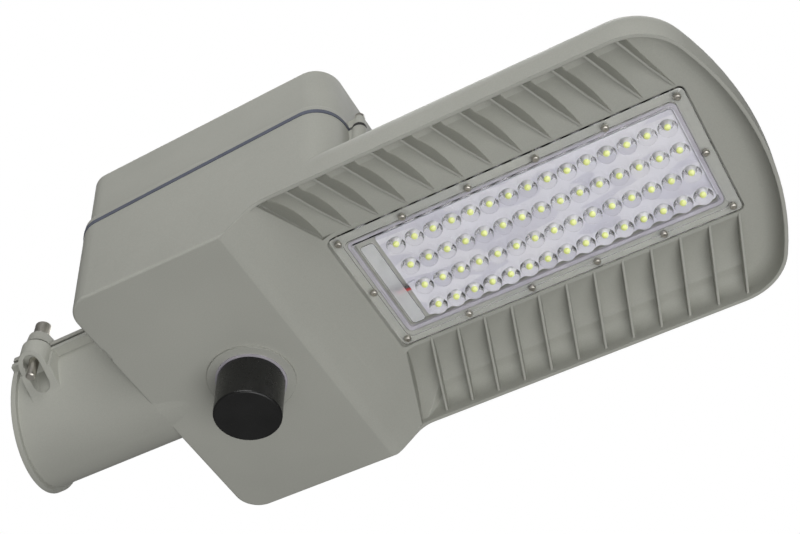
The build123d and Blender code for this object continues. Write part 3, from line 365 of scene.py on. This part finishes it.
# ---------------------------------------------------------------- lens cover
LENS_R = 5.55
LENS_SKIRT = 0.9               # upright part of a lens, below its dome
LENS_H = 4.4
LENS_RING_STEP = 7.5           # degrees between the rings of a dome
LED_FOOT_R = 2.4               # clear foot between a lens and its LED
FOOT_SINK = 0.2                # of the foot into the board
PLATE_T = 3.0
PLATE_CORNER_R = 3.2
STEP_H = 1.0
STEP_CORNER_R = 3.0
STEP_REAR = 9.4                # from the plate's edges to the raised field
STEP_FRONT = 9.36
STEP_SIDE = 8.6
SIDE_STEPS = 8                 # mesh points along one side of a lens cell
BACK_GAP = 0.06                # air between the cover's back and the recess
LEAD_POCKET_HALF = 33.0        # the pocket over the leads, half its width
LEAD_POCKET_DEPTH = 1.8
LEAD_POCKET_REAR = 4.0         # from the raised field's rear edge
LEAD_POCKET_FRONT = 5.7        # from the first row of lens cells

plate_low, plate_high = (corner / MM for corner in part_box("lens_cover"))
flange_z = plate_high.z - PLATE_T
back_z = plate_high.z - BACK_GAP
step_z = flange_z - STEP_H
field_low = Vector((led_points[0][0] - pitch_x / 2, led_points[0][1] - pitch_y / 2))
field_high = Vector((led_points[-1][0] + pitch_x / 2, led_points[-1][1] + pitch_y / 2))


def rect_side_points(low, high, counts, cluster=0.0):
    """Points round a rectangle, counts along X and Y; cluster crowds them to the corners."""
    def ease(t):
        return (1 - cluster) * t + cluster * (1 - math.cos(math.pi * t)) / 2

    points = []
    for k in range(counts[0]):
        points.append((low[0] + (high[0] - low[0]) * ease(k / counts[0]), low[1]))
    for k in range(counts[1]):
        points.append((high[0], low[1] + (high[1] - low[1]) * ease(k / counts[1])))
    for k in range(counts[0]):
        points.append((high[0] + (low[0] - high[0]) * ease(k / counts[0]), high[1]))
    for k in range(counts[1]):
        points.append((low[0], high[1] + (low[1] - high[1]) * ease(k / counts[1])))
    return points


def rounded_loop(low, high, radius, counts):
    """A rounded rectangle's outline with the same number of points as rect_side_points."""
    points = []
    for x, y in rect_side_points(low, high, counts, 0.55):
        centre_x = min(max(x, low[0] + radius), high[0] - radius)
        centre_y = min(max(y, low[1] + radius), high[1] - radius)
        centre = Vector((centre_x, centre_y))
        away = Vector((x, y)) - centre
        if abs(away.x) > 1e-6 and abs(away.y) > 1e-6:
            away = away.normalized() * radius
        points.append((centre.x + away.x, centre.y + away.y))
    return points


def add_loop(mesh, points, z):
    return [mesh.verts.new((x, y, z)) for x, y in points]


def bridge(mesh, first, second):
    count = len(first)
    for k in range(count):
        j = (k + 1) % count
        mesh.faces.new((first[k], first[j], second[j], second[k]))


def lens_cell(mesh, centre, z, profile):
    """One cell of the field: a flat rim that runs into a revolved profile of (radius, z) rings."""
    half = Vector((pitch_x / 2, pitch_y / 2))
    middle = Vector(centre)
    counts = (SIDE_STEPS, SIDE_STEPS)
    outer = add_loop(mesh, rect_side_points(middle - half, middle + half, counts), z)
    segments = len(outer)
    previous = outer
    for radius, ring_z in profile:
        if radius == 0:
            tip = mesh.verts.new((middle.x, middle.y, ring_z))
            for k in range(segments):
                mesh.faces.new((previous[k], previous[(k + 1) % segments], tip))
            return
        ring = []
        for k in range(segments):
            angle = math.pi * 1.25 + 2 * math.pi * k / segments
            x = middle.x + radius * math.cos(angle)
            y = middle.y + radius * math.sin(angle)
            ring.append(mesh.verts.new((x, y, ring_z)))
        bridge(mesh, previous, ring)
        previous = ring


def make_lens_cover():
    mesh = bmesh.new()
    ring_count = round(90 / LENS_RING_STEP) - 1
    turns = [math.radians(LENS_RING_STEP * k) for k in range(1, ring_count + 1)]
    dome = [
        (LENS_R + 0.3, step_z),
        (LENS_R + 0.1, step_z - 0.06),
        (LENS_R, step_z - 0.25),
        (LENS_R, step_z - LENS_SKIRT),
    ]
    cap_h = LENS_H - LENS_SKIRT
    dome += [(LENS_R * math.cos(t), step_z - LENS_SKIRT - cap_h * math.sin(t)) for t in turns]
    dome.append((0, step_z - LENS_H))
    # round each LED the clear body reaches the board, so that the LED stands in it
    board_face = chips_high.z + FOOT_SINK
    foot = [(LED_FOOT_R + 0.1, back_z), (LED_FOOT_R, board_face), (0, board_face)]
    for point in led_points:
        lens_cell(mesh, point, step_z, dome)
        lens_cell(mesh, point, back_z, foot)

    counts = (LED_COLUMNS * SIDE_STEPS, LED_ROWS * SIDE_STEPS)
    plate_a = Vector((plate_low.x, plate_low.y))
    plate_b = Vector((plate_high.x, plate_high.y))
    step_a = plate_a + Vector((STEP_REAR, STEP_SIDE))
    step_b = plate_b - Vector((STEP_FRONT, STEP_SIDE))

    def inset(low, high, amount, radius):
        """A rounded outline, moved inwards by amount; a negative amount moves it outwards."""
        shift = Vector((amount, amount))
        return rounded_loop(low + shift, high - shift, radius, counts)

    step_face = inset(step_a, step_b, 0.0, STEP_CORNER_R)
    plate_side = inset(plate_a, plate_b, 0.0, PLATE_CORNER_R)
    rings = [
        # the raised field and its rounded edge
        (rect_side_points(field_low, field_high, counts), step_z),
        (inset(step_a, step_b, 0.5, STEP_CORNER_R - 0.5), step_z),
        (step_face, step_z + 0.5),
        (step_face, flange_z - 0.15),
        # a shallow groove in the flange, round the step's foot
        (inset(step_a, step_b, -0.3, 3.3), flange_z),
        (inset(step_a, step_b, -2.4, 4.0), flange_z),
        (inset(step_a, step_b, -2.6, 4.2), flange_z + 0.3),
        (inset(step_a, step_b, -3.4, 4.6), flange_z + 0.3),
        (inset(step_a, step_b, -3.6, 4.8), flange_z),
        # the plate's outer edge and its side
        (inset(plate_a, plate_b, 0.6, PLATE_CORNER_R - 0.6), flange_z),
        (inset(plate_a, plate_b, 0.15, 3.05), flange_z + 0.25),
        (plate_side, flange_z + 0.7),
        (plate_side, back_z - 0.2),
        (inset(plate_a, plate_b, 0.2, 3.0), back_z),
    ]
    loops = [add_loop(mesh, points, z) for points, z in rings]
    for first, second in zip(loops, loops[1:]):
        bridge(mesh, first, second)
    bmesh.ops.remove_doubles(mesh, verts=mesh.verts, dist=1e-4)

    # the flat back: from the plate's edge to the cells, with a pocket over the leads
    pocket_a = Vector((step_a.x + LEAD_POCKET_REAR, -LEAD_POCKET_HALF))
    pocket_b = Vector((field_low.x - LEAD_POCKET_FRONT, LEAD_POCKET_HALF))
    pocket_outline = rounded_loop(pocket_a, pocket_b, 2.0, (6, 24))
    rim = add_loop(mesh, pocket_outline, back_z)
    floor = add_loop(mesh, pocket_outline, back_z - LEAD_POCKET_DEPTH)
    bridge(mesh, rim, floor)
    mesh.faces.new(floor)
    mesh.edges.ensure_lookup_table()
    open_edges = []
    for edge in mesh.edges:
        if edge.is_boundary and all(abs(vert.co.z - back_z) < 1e-3 for vert in edge.verts):
            open_edges.append(edge)
    bmesh.ops.triangle_fill(mesh, edges=open_edges, use_beauty=True)
    piece = finish_piece("lens_cover_clear", mesh, "housing", "lens_clear")
    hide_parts("lens_cover")


make_lens_cover()


# ---------------------------------------------------------------- LED packages
LED_HALF = 1.75                # of the square ceramic body
CUP_R = 1.6
CUP_SEGMENTS = 20
LED_TIP_DEPTH = 0.3            # of the phosphor's rim behind the plate's face
PHOSPHOR_R = 1.35
PHOSPHOR_H = 0.5


def make_leds():
    """A white ceramic body per LED, with a white cup that carries the phosphor up into the lens."""
    def square(x, y, half, radius):
        return rounded_loop((x - half, y - half), (x + half, y + half), radius, (4, 4))

    mesh = bmesh.new()
    board = chips_high.z
    top = chips_low.z
    tip = flange_z + LED_TIP_DEPTH
    for x, y in led_points:
        first_face = len(mesh.faces)
        outline = square(x, y, LED_HALF, 0.15)
        base = add_loop(mesh, outline, board)
        body = add_loop(mesh, outline, top + 0.12)
        edge = add_loop(mesh, square(x, y, LED_HALF - 0.09, 0.12), top + 0.03)
        bridge(mesh, base, body)
        bridge(mesh, body, edge)
        mesh.faces.new(base)
        mesh.faces.new(edge)
        cup = [(CUP_R, top + 0.03), (CUP_R, tip + 0.5), (CUP_R - 0.1, tip + 0.15), (PHOSPHOR_R, tip)]
        lathe(mesh, cup, (x, y), CUP_SEGMENTS)
        mesh.faces.ensure_lookup_table()
        for face in mesh.faces[first_face:]:
            face.material_index = 1
        turns = [math.radians(15 * k) for k in range(1, 6)]
        dome = [(PHOSPHOR_R, tip)]
        dome += [(PHOSPHOR_R * math.cos(t), tip - PHOSPHOR_H * math.sin(t)) for t in turns]
        dome.append((0, tip - PHOSPHOR_H))
        lathe(mesh, dome, (x, y), CUP_SEGMENTS)
    piece = finish_piece("led_packages", mesh, "housing", "led_phosphor", ("led_ceramic",), 40)
    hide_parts("led_chips")


make_leds()


# ---------------------------------------------------------------- studio
FLOOR_GLOW = 0.6
FLOOR_HALF = 25.0
FLOOR_CELLS = 24
FLOOR_Z = -2.3


def stage_floor():
    """A wide pale floor, far enough below for cameras that look up at the lamp."""
    mesh = bmesh.new()
    bmesh.ops.create_grid(mesh, x_segments=FLOOR_CELLS, y_segments=FLOOR_CELLS, size=FLOOR_HALF)
    bmesh.ops.translate(mesh, vec=(0.25, 0, FLOOR_Z), verts=mesh.verts)
    data = bpy.data.meshes.new("studio_floor")
    mesh.to_mesh(data)
    mesh.free()
    floor = bpy.data.objects.new("studio_floor", data)
    bpy.context.scene.collection.objects.link(floor)
    look = Look("studio_floor")
    look.feed("Base Color", look.mix(look.noise(0.6, 2), (0.80, 0.80, 0.79), (0.86, 0.86, 0.85)))
    look.set(Roughness=0.9, Emission_Color=(1, 1, 1, 1))
    # seen straight on, the floor glows pale; on the lamp it throws no light of its own
    ray = look.add("ShaderNodeLightPath").outputs["Is Camera Ray"]
    look.feed("Emission Strength", look.sum(ray, FLOOR_GLOW, "MULTIPLY"))
    data.materials.append(look.material)


def area_light(name, place, target, size, power, tone=(1, 1, 1)):
    light = bpy.data.lights.new(name, "AREA")
    light.shape = "RECTANGLE"
    light.size, light.size_y = size
    light.energy = power
    light.color = tone
    lamp = bpy.data.objects.new(name, light)
    lamp.location = place
    lamp.rotation_mode = "QUATERNION"
    lamp.rotation_quaternion = (Vector(target) - Vector(place)).to_track_quat("-Z", "Y")
    bpy.context.scene.collection.objects.link(lamp)
    return lamp


def white_world(seen, ambient):
    """A plain white surround: bright where the camera sees it, softer where it only lights the lamp."""
    world = bpy.data.worlds.new("studio_world")
    world.use_nodes = True
    tree = world.node_tree
    tree.nodes.clear()
    out = tree.nodes.new("ShaderNodeOutputWorld")
    ray = tree.nodes.new("ShaderNodeLightPath")
    mix = tree.nodes.new("ShaderNodeMixShader")
    for i, strength in ((1, ambient), (2, seen)):
        background = tree.nodes.new("ShaderNodeBackground")
        background.inputs["Color"].default_value = (1, 1, 1, 1)
        background.inputs["Strength"].default_value = strength
        tree.links.new(background.outputs["Background"], mix.inputs[i])
    tree.links.new(ray.outputs["Is Camera Ray"], mix.inputs[0])
    tree.links.new(mix.outputs["Shader"], out.inputs["Surface"])
    bpy.context.scene.world = world


stage_floor()
white_world(1.0, 0.12)
area_light("key_light", (0.75, -1.5, 0.15), (0.2, 0, 0), (1.3, 1.0), 16)
area_light("fill_light", (0.95, -0.35, -1.6), (0.3, 0, 0), (1.4, 1.4), 17)
area_light("top_light", (-0.1, 0.6, 1.8), (0.2, 0, 0), (2.0, 2.0), 34)

# ---------------------------------------------------------------- camera
# below the lamp and to its side, looking up; right and back are the camera's own X and Z axes
right = Vector((0.876, 0.482, -0.002))
back = Vector((0.306, -0.559, -0.771)).normalized()
right = (right - back * right.dot(back)).normalized()
up = back.cross(right)
camera_data = bpy.data.cameras.new("camera")
camera_data.sensor_width = 36.0
camera_data.lens = 68.0
camera_data.clip_start = 0.01
camera_data.clip_end = 60.0
camera = bpy.data.objects.new("camera", camera_data)
turn = Matrix((right, up, back)).transposed().to_4x4()
camera.matrix_world = Matrix.Translation((0.52008, -0.50244, -0.69084)) @ turn
bpy.context.scene.collection.objects.link(camera)
bpy.context.scene.camera = camera
bpy.context.scene.view_settings.view_transform = "Standard"
